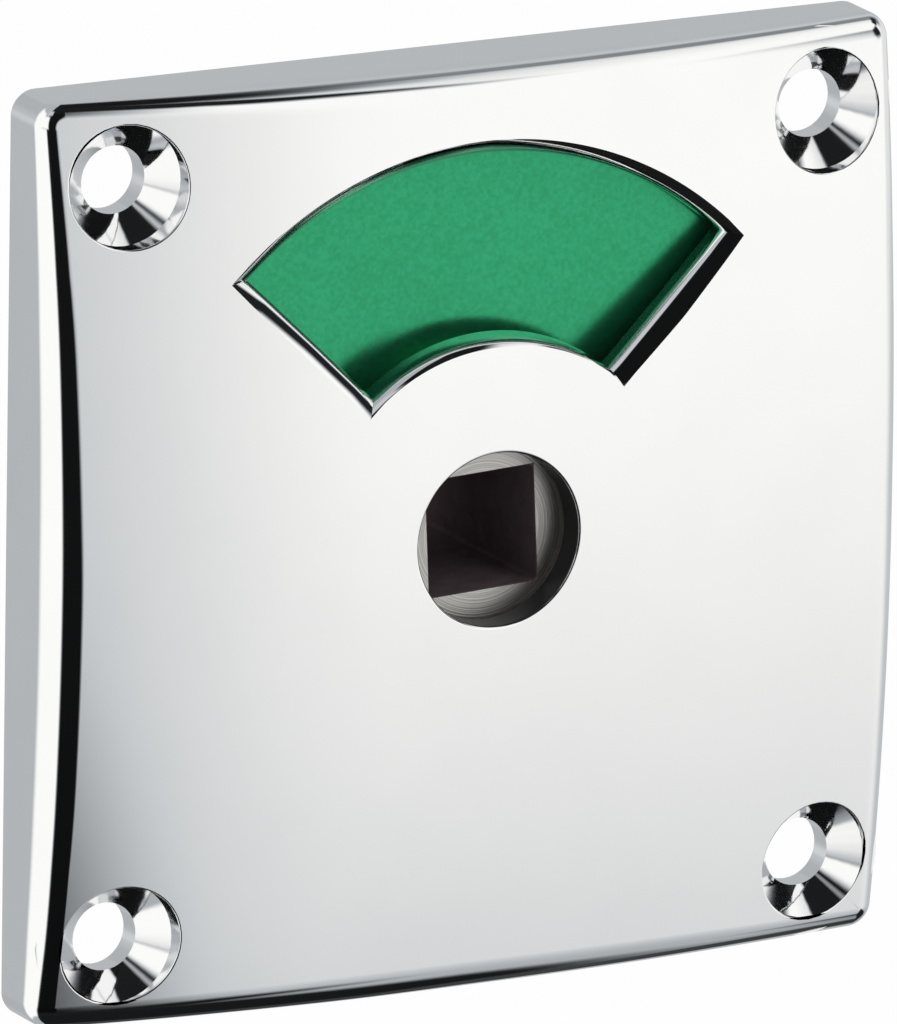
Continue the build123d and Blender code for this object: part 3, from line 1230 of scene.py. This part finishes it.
    def _add_strap_boss(self, shell: Shell, across: int, up: int) -> None:
        """Adds one boss for a strap screw: half a circle that runs out into the side wall.

        Args:
            shell: The piece to add it to.
            across: 1 for the right side, -1 for the left.
            up: 1 for the upper one, -1 for the lower.
        """
        x, y = self.strap_boss
        radius = self.strap_boss_radius
        steps = self.strap_boss_columns
        bend = np.array([x, y]) + radius * clock(np.linspace(180, 360, steps + 1))
        run = self.half - self.wall / 2
        loop = np.concatenate([bend, [[run, y + radius]], [[run, y - radius]], bend[:1]])
        loop = loop * np.array([across, up])
        top = self.dome.height(np.array([x, y]), self.shell) + self.boss_sink
        walls = blend_rows(with_height(loop, self.strap_front), with_height(loop, top), 2)
        centre = np.array([[x * across, y * up]])
        for first, last in ((0, steps), (steps, steps + 1), (steps + 1, steps + 2), (steps + 2, steps + 3)):
            part = slice(first, last + 1)
            shell.add(walls[:, part], outward=with_height(loop[part] - centre, 0.0))
        middle = np.repeat(centre, len(loop), 0)
        for height, way in ((self.strap_front, -1.0), (top, 1.0)):
            shell.add_level(with_height(blend_rows(loop, middle, 1), height), way)


@dataclass
class Follower:
    """The turned hub with its square socket, keyed seat, ring groove and tail."""

    face: float = 7.3
    flange_radius: float = 9.0
    flange_back: float = 5.3
    key_radius: float = 7.9
    key_flat: float = 7.15
    key_back: float = 4.3
    groove_radius: float = 6.7
    groove_back: float = 3.2
    journal_radius: float = 7.0
    tail_end: float = -9.5
    tail_chamfer: float = 0.4
    edge_round: float = 0.12
    edge_round_rows: int = 5
    end_rows: int = 5
    socket_half: float = 4.05
    socket_corner: float = 0.3
    socket_chamfer: float = 0.04
    socket_corner_columns: int = 12
    rest_angle: float = 3.0
    columns: int = 240

    def build(self, material: bpy.types.Material) -> bpy.types.Object:
        """Builds the hub as one closed piece.

        Args:
            material: Its finish.

        Returns:
            The new object.
        """
        shell = Shell("follower_hub")
        ring = clock(np.linspace(0, 360, self.columns + 1))
        ring[-1] = ring[0]
        square, aims = self._square()
        wide = square + self.socket_chamfer * aims
        self._flat(shell, wide, self.flange_radius - self.edge_round, ring, self.face, 1.0)
        self._bevel(shell, wide, square, aims, self.face, -1.0)
        walls = blend_rows(with_height(square, self.face - self.socket_chamfer),
                           with_height(square, self.tail_end + self.socket_chamfer), 8)
        shell.add(walls, np.repeat(-with_height(aims, 0.0)[None], len(walls), 0))
        self._bevel(shell, wide, square, aims, self.tail_end, 1.0)
        self._flat(shell, wide, self.journal_radius - self.tail_chamfer, ring, self.tail_end, -1.0)
        self._outside(shell)
        return shell.build(material, Body.INDICATOR, Slot.FOLLOWER, ("follower",))

    def _square(self) -> tuple:
        """The socket's outline at rest: a square with small round corners.

        Returns:
            Places and outward directions, (columns + 1) x 2 each.
        """
        bend = self.socket_corner_columns
        straight = self.columns // 8 - bend // 2
        centre = self.socket_half - self.socket_corner
        run = np.linspace(0, centre, straight + 1)
        side = np.full(straight, self.socket_half)
        arc = clock(np.linspace(0, 90, bend + 1))
        places = np.concatenate([np.stack([run[:-1], side], -1), centre + self.socket_corner * arc,
                                 np.stack([side[1:], run[::-1][1:-1]], -1)])
        up, right = np.tile([0.0, 1.0], (straight, 1)), np.tile([1.0, 0.0], (straight - 1, 1))
        aims = np.concatenate([up, arc, right])
        turn = math.radians(self.rest_angle)
        spin = np.array([[math.cos(turn), math.sin(turn)], [-math.sin(turn), math.cos(turn)]])
        loops = [np.concatenate([quarter_turned(v, i) for i in range(4)]) for v in (places, aims)]
        return tuple(np.concatenate([v, v[:1]]) @ spin for v in loops)

    def _flat(self, shell: Shell, inner: Points, radius: float, ring: Points, height: float,
              way: float) -> None:
        """Adds a flat end between the socket's edge and a circle."""
        shell.add_level(with_height(blend_rows(inner, radius * ring, self.end_rows), height), way)

    def _bevel(self, shell: Shell, wide: Points, narrow: Points, aims: Points, height: float,
               way: float) -> None:
        """Adds the small bevel round one mouth of the socket.

        Args:
            shell: The piece to add it to.
            wide: The bevel's outer edge.
            narrow: The square's own outline.
            aims: The outline's outward directions.
            height: The height of the flat end.
            way: 1 where the bevel runs up from that end, -1 where it runs down.
        """
        ends = with_height(wide, height), with_height(narrow, height + way * self.socket_chamfer)
        lean = unit(with_height(-aims, -way))
        shell.add(blend_rows(*ends, 1), np.repeat(lean[None], 2, 0))

    def _outside(self, shell: Shell) -> None:
        """Adds the outside: rounded flange, keyed seat, groove, journal and chamfered tail.

        The seat is a circle whose two sides are cut flat at the key's distance.

        Args:
            shell: The piece to add it to.
        """
        small = self.edge_round
        start = np.array([self.flange_radius - small, self.face - small])
        bend = clock(np.linspace(0, 90, self.edge_round_rows + 1)) * small + start
        shell.revolve(bend, self.columns, smooth=True)
        side = np.array([[self.flange_radius, self.face - small], [self.flange_radius, self.flange_back]])
        shell.revolve(side, self.columns)
        ring = clock(np.linspace(0, 360, self.columns + 1))
        key = self.key_radius * ring
        key[:, 0] = np.clip(key[:, 0], -self.key_flat, self.key_flat)
        shell.add_level(with_height(blend_rows(self.flange_radius * ring, key, 2), self.flange_back), -1.0)
        seat = blend_rows(with_height(key, self.flange_back), with_height(key, self.key_back), 2)
        shell.add(seat, closed=True, outward=with_height(ring, 0.0))
        shell.add_level(with_height(blend_rows(key, self.groove_radius * ring, 2), self.key_back), -1.0)
        shell.revolve(np.array([
            [self.groove_radius, self.key_back],
            [self.groove_radius, self.groove_back],
            [self.journal_radius, self.groove_back],
            [self.journal_radius, self.tail_end + self.tail_chamfer],
            [self.journal_radius - self.tail_chamfer, self.tail_end],
        ]), self.columns)


@dataclass
class ColourFields:
    """The green and red films on the disc, each with slightly rounded edges."""

    inner: float = 12.5
    outer: float = 28.0
    back: float = 5.3
    front: float = 5.45
    edge: float = 0.05
    split: float = -49.0
    green_end: float = 55.0
    red_start: float = -153.0
    half_gap: float = 0.05
    rows: int = 25
    columns: int = 121

    def build(self, green: bpy.types.Material, red: bpy.types.Material) -> None:
        """Builds both films."""
        self._film("green", self.split + self.half_gap, self.green_end, green, Slot.GREEN)
        self._film("red", self.red_start, self.split - self.half_gap, red, Slot.RED)

    def _film(self, colour: str, start: float, end: float, material: bpy.types.Material, slot: Slot) -> None:
        """Builds one film: a polar sheet whose border rows drop to the disc.

        Args:
            colour: Its colour, as in the names of the piece and of its CAD node.
            start: Its first clockwise angle in degrees.
            end: Its last clockwise angle.
            material: Its finish.
            slot: The record's slot.
        """
        shell = Shell(colour + "_film")
        angle = np.degrees(self.edge / self.outer)
        angles = self._inset(start, end, angle, self.columns)
        radii = self._inset(self.inner, self.outer, self.edge, self.rows)
        sheet = radii[:, None, None] * clock(angles)[None]
        low = self.front - self.edge
        height = np.full(sheet.shape[:2], self.front)
        height[[0, -1]] = height[:, [0, -1]] = low
        shell.add_level(with_height(sheet, height), 1.0)
        shell.add_level(with_height(sheet, self.back), -1.0)
        turned = sheet.transpose(1, 0, 2)
        for grid in (sheet, sheet[::-1], turned, turned[::-1]):
            border = grid[0]
            strip = np.stack([with_height(border, low), with_height(border, self.back)])
            shell.add(strip, outward=with_height(border - grid[1], 0.0))
        shell.build(material, Body.INDICATOR, slot, (colour + "_field",))

    @staticmethod
    def _inset(start: float, end: float, edge: float, count: int) -> Points:
        """The two ends, and between them even steps that keep off the ends by the edge."""
        return np.concatenate([[start], np.linspace(start + edge, end - edge, count - 2), [end]])


@dataclass
class CarriedPieces:
    """The pieces whose CAD shape is right as it stands: each gets its finish and broken edges."""

    edge_break: float = 0.00005
    crease: float = 35.0
    weld: float = 0.000001

    def dress(self) -> None:
        """Gives every remaining node its finish and its broken edges."""
        disc = SheetMetal("disc_sheet", (0.66, 0.67, 0.68), (0.50, 0.51, 0.52), 0.32).make()
        spring = SheetMetal("spring_steel_dark", (0.20, 0.20, 0.21), (0.09, 0.09, 0.10), 0.35).make()
        bush = SheetMetal("bush_nylon", (0.80, 0.79, 0.73), (0.72, 0.70, 0.64), 0.45, 0.0, 900.0).make()
        washer = SheetMetal("washer_plain", (0.62, 0.62, 0.63), (0.46, 0.46, 0.47), 0.28).make()
        strap = SheetMetal("strap_zinc", (0.68, 0.70, 0.72), (0.50, 0.52, 0.55), 0.3, 1.0, 300.0).make()
        screw = SheetMetal("screw_zinc", (0.63, 0.63, 0.62), (0.42, 0.42, 0.42), 0.26, 1.0, 800.0).make()
        finishes = {
            "indicator_disc": disc, "retaining_ring": spring, "spring_washer": spring,
            "front_bush": bush, "rear_bush": bush, "thrust_washer": washer,
            "bearing_strap": strap, "strap_screws": screw, "stop_pin": screw,
        }
        for name, material in finishes.items():
            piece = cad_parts[name]
            piece.data.materials.clear()
            piece.data.materials.append(material)
            self._break_edges(piece)
            LOG.info("%s: carried over with %s", name, material.name)

    def _break_edges(self, piece: bpy.types.Object) -> None:
        """Takes the sharpness off a piece: a narrow bevel where it turns by more than the crease.

        Args:
            piece: The piece, whose own mesh stays as it is.
        """
        weld = piece.modifiers.new("joined_edges", "WELD")
        weld.merge_threshold = self.weld
        bevel = piece.modifiers.new("broken_edges", "BEVEL")
        bevel.limit_method = "ANGLE"
        bevel.angle_limit = math.radians(self.crease)
        bevel.width = self.edge_break
        bevel.segments = 2
        bevel.harden_normals = True


@dataclass(frozen=True)
class Card:
    """One panel of the reflection tent, in degrees to the right of ahead and above level."""

    side: tuple
    rise: tuple
    level: float
    soft_side: tuple = (4.0, 4.0)
    soft_rise: tuple = (4.0, 4.0)


TENT_CARDS = (
    Card((134.0, 400.0), (-200.0, 200.0), 0.50, (8.0, 4.0)),
    Card((-400.0, -59.0), (-200.0, 200.0), 0.46),
    Card((98.0, 122.0), (20.0, 200.0), 0.25, (5.0, 5.0), (4.0, 4.0)),
    Card((22.0, 130.0), (66.0, 200.0), 0.01, (5.0, 6.0), (4.0, 4.0)),
    Card((-36.0, 48.0), (52.0, 200.0), 0.012, (4.0, 5.0), (4.0, 4.0)),
    Card((-59.0, 38.0), (-200.0, -51.0), 0.012, (5.0, 5.0), (4.0, 4.0)),
    Card((-59.0, 132.0), (-200.0, -60.0), 0.01, (5.0, 6.0), (4.0, 3.0)),
    Card((103.0, 156.0), (-200.0, -44.0), 0.05, (5.0, 4.0), (4.0, 4.0)),
    Card((72.0, 120.0), (-53.0, -32.0), 0.015, (4.0, 6.0), (3.0, 2.0)),
    Card((50.0, 82.0), (6.0, 34.0), 0.015, (9.0, 4.0), (7.0, 4.0)),
    Card((84.0, 114.0), (29.0, 46.0), 0.02, (4.0, 4.0), (3.0, 4.0)),
    Card((86.0, 130.0), (-11.0, 14.0), 0.80, (8.0, 5.0), (2.0, 4.0)),
    Card((-142.0, -61.0), (-60.0, 3.0), 1.04, (16.0, 3.0), (5.0, 4.0)),
    Card((-142.0, -86.0), (-12.0, 51.0), 1.04, (16.0, 8.0), (4.0, 4.0)),
    Card((-100.0, -50.0), (5.0, 42.0), 1.04, (4.0, 4.0), (4.0, 5.0)),
    Card((-75.0, -40.0), (47.0, 64.0), 0.60, (4.0, 4.0), (4.0, 4.0)),
)


@dataclass
class Tent:
    """A far ball of studio panels that only gloss sees: white boxes, black cards, grey walls.

    Each fall is where it begins and ends in degrees, and the brightness at both places. The
    black card ahead has an edge that bulges to the right, more above than below.
    """

    radius: float = 6.0
    rows: int = 32
    columns: int = 64
    open_level: float = 1.03
    bulge_above: float = 0.55
    bulge_below: float = -0.6
    foot_fall: tuple = (-60.0, -2.0, 0.42, 1.0)
    crown_fall: tuple = (45.0, 95.0, 1.0, 0.2)
    card_fall: tuple = (-14.0, -1.0, 0.012, 1.0)
    near_fall: tuple = (0.0, 24.0, 0.55, 1.0)
    far_fall: tuple = (78.0, 115.0, 1.0, 0.60)
    hue_levels: tuple = (0.45, 0.95)
    cool: tuple = (0.955, 1.0, 1.035)
    warm: tuple = (1.0, 0.995, 0.975)

    def make(self) -> bpy.types.Material:
        """Builds the panels' material.

        Each point's direction from the spindle axis gives an angle to the right of straight
        ahead and an angle above level, and the panels are smooth steps of these two.

        Returns:
            The material.
        """
        material, graph = new_graph("tent_panels")
        aim = graph.add("VectorMath", {0: graph.places()}, operation="NORMALIZE").outputs[0]
        x, y, z = graph.split(aim)
        side = graph.math("DEGREES", graph.math("ARCTAN2", x, graph.math("MULTIPLY", y, -1.0)))
        rise = graph.math("DEGREES", graph.math("ARCSINE", z))
        level = self._open(graph, side, rise)
        for card in TENT_CARDS:
            mask = graph.math("MULTIPLY", self._band(graph, side, card.side, card.soft_side),
                              self._band(graph, rise, card.rise, card.soft_rise))
            change = graph.math("MULTIPLY", mask, graph.math("SUBTRACT", card.level, level))
            level = graph.math("ADD", level, change)
        hue = graph.tint(graph.ease(level, *self.hue_levels), self.cool, self.warm)
        graph.surface(graph.add("Emission", {"Color": hue, "Strength": level}))
        return material

    def places(self) -> Points:
        """Places on the ball: the radius times (cos v sin u, cos v cos u, sin v).

        Returns:
            The grid in metres, from the top down, rows x columns x 3.
        """
        lats = np.linspace(90, -90, self.rows + 1)
        ring = clock(np.linspace(0, 360, self.columns + 1))
        across, up = np.cos(np.radians(lats)), np.sin(np.radians(lats))
        return with_height(across[:, None, None] * ring, up[:, None]) * self.radius

    def _open(self, graph: Graph, side: Socket, rise: Socket) -> bpy.types.NodeSocket:
        """Brightness of the tent by direction, without its cards.

        Args:
            graph: Where the nodes go.
            side: Degrees to the right of straight ahead.
            rise: Degrees above level.

        Returns:
            The product of the open level and all the falls.
        """
        bulge = graph.math("MAXIMUM", graph.math("MULTIPLY", rise, self.bulge_above),
                           graph.math("MULTIPLY", rise, self.bulge_below))
        front = graph.math("SUBTRACT", side, bulge)
        level = self.open_level
        for value, fall in ((rise, self.foot_fall), (rise, self.crown_fall), (front, self.card_fall),
                            (side, self.near_fall), (side, self.far_fall)):
            level = graph.math("MULTIPLY", level, graph.ease(value, *fall))
        return level

    @staticmethod
    def _band(graph: Graph, value: Socket, ends: tuple, soft: tuple) -> bpy.types.NodeSocket:
        """A smooth band.

        Args:
            graph: Where the nodes go.
            value: Degrees one way.
            ends: Where the band is half there, on either side.
            soft: How far each of these steps reaches to both sides of its place.

        Returns:
            One in the band and nothing beyond it.
        """
        start = graph.ease(value, ends[0] - soft[0], ends[0] + soft[0])
        end = graph.ease(value, ends[1] + soft[1], ends[1] - soft[1])
        return graph.math("MULTIPLY", start, end)


@dataclass
class Studio:
    """Camera, surround, reflection tent, floor and lamp."""

    azimuth: float = -27.13
    elevation: float = 14.86
    roll: float = 0.84
    distance: float = 1.968
    lens: float = 1033.0
    aim_height: float = 0.01
    across: float = -0.00342
    up: float = 0.0019
    matt_light: float = 0.75
    floor_height: float = -0.30
    floor_half: float = 4.0
    floor_steps: int = 8
    floor_glow: float = 0.95
    paper_dark: tuple = (0.90, 0.90, 0.90)
    paper_light: tuple = (0.94, 0.94, 0.94)
    lamp_place: tuple = (0.7, -1.4, 1.1)
    lamp_size: float = 1.2
    lamp_power: float = 14.0

    def build(self) -> None:
        """Builds everything that isn't part of the indicator."""
        self._camera()
        self._world()
        self._tent()
        self._floor()
        self._lamp()
        LOG.info("studio: camera, tent, floor and lamp")

    def _camera(self) -> None:
        """Places the camera: it looks at the top of the dome, then slides in its own plane."""
        a, e, r = (math.radians(v) for v in (self.azimuth, self.elevation, self.roll))
        back = Vector((math.sin(a) * math.cos(e), -math.cos(a) * math.cos(e), math.sin(e)))
        level = Vector((0, 0, 1)).cross(back).normalized()
        upright = back.cross(level)
        right = math.cos(r) * level + math.sin(r) * upright
        over = math.cos(r) * upright - math.sin(r) * level
        place = Vector((0, -self.aim_height, 0)) + self.distance * back + self.across * right + self.up * over
        data = bpy.data.cameras.new("studio_camera")
        data.lens = self.lens
        data.clip_end = 50.0
        camera = new_object("studio_camera", data)
        camera.matrix_world = Matrix.Translation(place) @ Matrix((right, over, back)).transposed().to_4x4()
        bpy.context.scene.camera = camera

    def _world(self) -> None:
        """A white surround for camera, gloss and glass, and an even grey one for matt light."""
        world = bpy.data.worlds.new("studio_surround")
        world.use_nodes = True
        graph = Graph(world.node_tree)
        strength = graph.ease(graph.seen(), 0.0, 1.0, self.matt_light, 1.0)
        background = graph.add("Background", {"Color": (1.0, 1.0, 1.0, 1.0), "Strength": strength})
        graph.surface(background, "OutputWorld")
        bpy.context.scene.world = world

    def _tent(self) -> None:
        """Hangs the reflection tent round everything."""
        tent = Tent()
        ball = self._sheet("studio_tent", tent.places(), tent.make())
        ball.visible_camera = ball.visible_diffuse = ball.visible_shadow = False

    def _floor(self) -> None:
        """A plain pale floor well below the plate, which hangs on its door."""
        t = np.linspace(-self.floor_half, self.floor_half, self.floor_steps + 1)
        flat = np.stack(np.meshgrid(t, t), -1)
        floor = self._sheet("studio_floor", with_height(flat, self.floor_height), self._paper())
        floor.visible_glossy = False

    def _paper(self) -> bpy.types.Material:
        """The floor's paper, white to the camera and clear from below.

        Returns:
            The material.
        """
        material, graph = new_graph("floor_paper")
        grain = graph.tint(graph.noise(30.0, 4.0), self.paper_dark, self.paper_light)
        paper = graph.add("BsdfPrincipled", {"Base Color": grain, "Roughness": 0.9})
        white = graph.add("Emission", {"Color": (1.0, 1.0, 1.0, 1.0)})
        share = graph.math("MULTIPLY", graph.seen(), self.floor_glow)
        mixed = graph.add("MixShader", {0: share, 1: paper.outputs[0], 2: white.outputs[0]})
        under = graph.add("NewGeometry").outputs["Backfacing"]
        clear = graph.add("BsdfTransparent")
        graph.surface(graph.add("MixShader", {0: under, 1: mixed.outputs[0], 2: clear.outputs[0]}))
        return material

    @staticmethod
    def _sheet(name: str, places: Points, material: bpy.types.Material) -> bpy.types.Object:
        """Makes one grid of the studio, which is no part of the indicator.

        Args:
            name: Its name.
            places: Its places in metres, rows x columns x 3.
            material: Its material.

        Returns:
            The new object.
        """
        faces = grid_faces(*places.shape[:2]).reshape(-1, 4)
        mesh = bpy.data.meshes.new(name)
        mesh.from_pydata(places.reshape(-1, 3).tolist(), [], faces.tolist())
        mesh.materials.append(material)
        sheet = new_object(name, mesh)
        return sheet

    def _lamp(self) -> None:
        """One broad soft lamp above and to the right of the camera."""
        data = bpy.data.lights.new("studio_lamp", "AREA")
        data.shape = "SQUARE"
        data.size = self.lamp_size
        data.energy = self.lamp_power
        lamp = new_object("studio_lamp", data)
        place = Vector(self.lamp_place)
        aim = place.to_track_quat("Z", "Y").to_matrix().to_4x4()
        lamp.matrix_world = Matrix.Translation(place) @ aim
        lamp.visible_glossy = lamp.visible_camera = False


def main() -> None:
    """Builds the pieces in order, then the studio round them."""
    logging.basicConfig(level=logging.INFO, format="%(name)s %(message)s")
    FacePlate().build(ChromePlate().make())
    Follower().build(TurnedSteel().make())
    green = ColourField("vacant_green_film", (0.040, 0.41, 0.19), (0.030, 0.33, 0.145)).make()
    red = ColourField("engaged_red_film", (0.60, 0.030, 0.028), (0.42, 0.016, 0.016)).make()
    ColourFields().build(green, red)
    CarriedPieces().dress()
    Studio().build()
    bpy.context.scene.view_settings.view_transform = "Standard"


if __name__ == "__main__":
    main()
